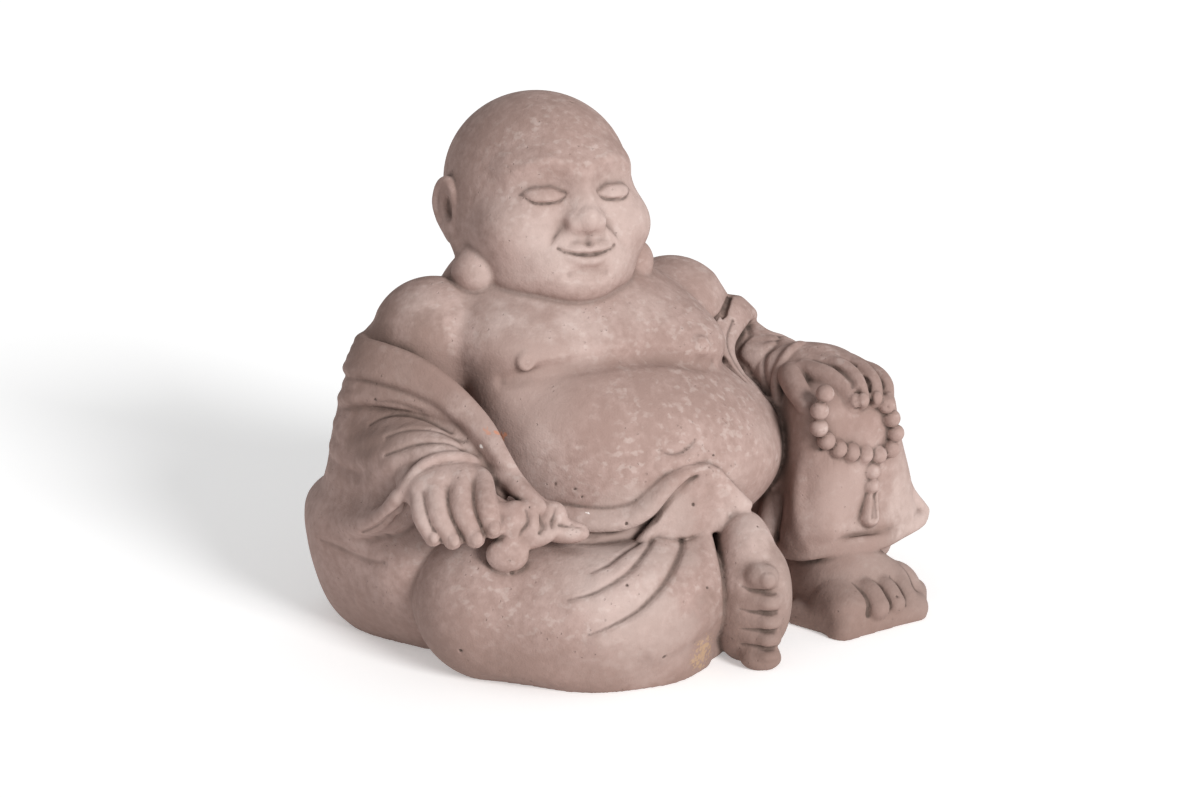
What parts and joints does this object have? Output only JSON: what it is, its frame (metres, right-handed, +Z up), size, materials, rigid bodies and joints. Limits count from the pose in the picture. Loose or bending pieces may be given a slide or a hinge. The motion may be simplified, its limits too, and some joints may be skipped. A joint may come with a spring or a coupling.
{
  "type": "seated budai figure",
  "caption": "Seated laughing-monk garden figure cast in one piece: bare chest and belly, fallen robe, sack neck in the fist and beads under the other hand.",
  "frame": {"origin": "middle of the outline box of the underside, on the surface it stands on", "axes": "+X to the figure's left hand along the longest extent, -Y the way the figure faces, +Z up"},
  "size_m": [0.4768, 0.3306, 0.4],
  "materials": {
    "cast_stone": "matte"
  },
  "bodies": {
    "root": {"budai_figure": "cast_stone"}
  },
  "joints": []
}
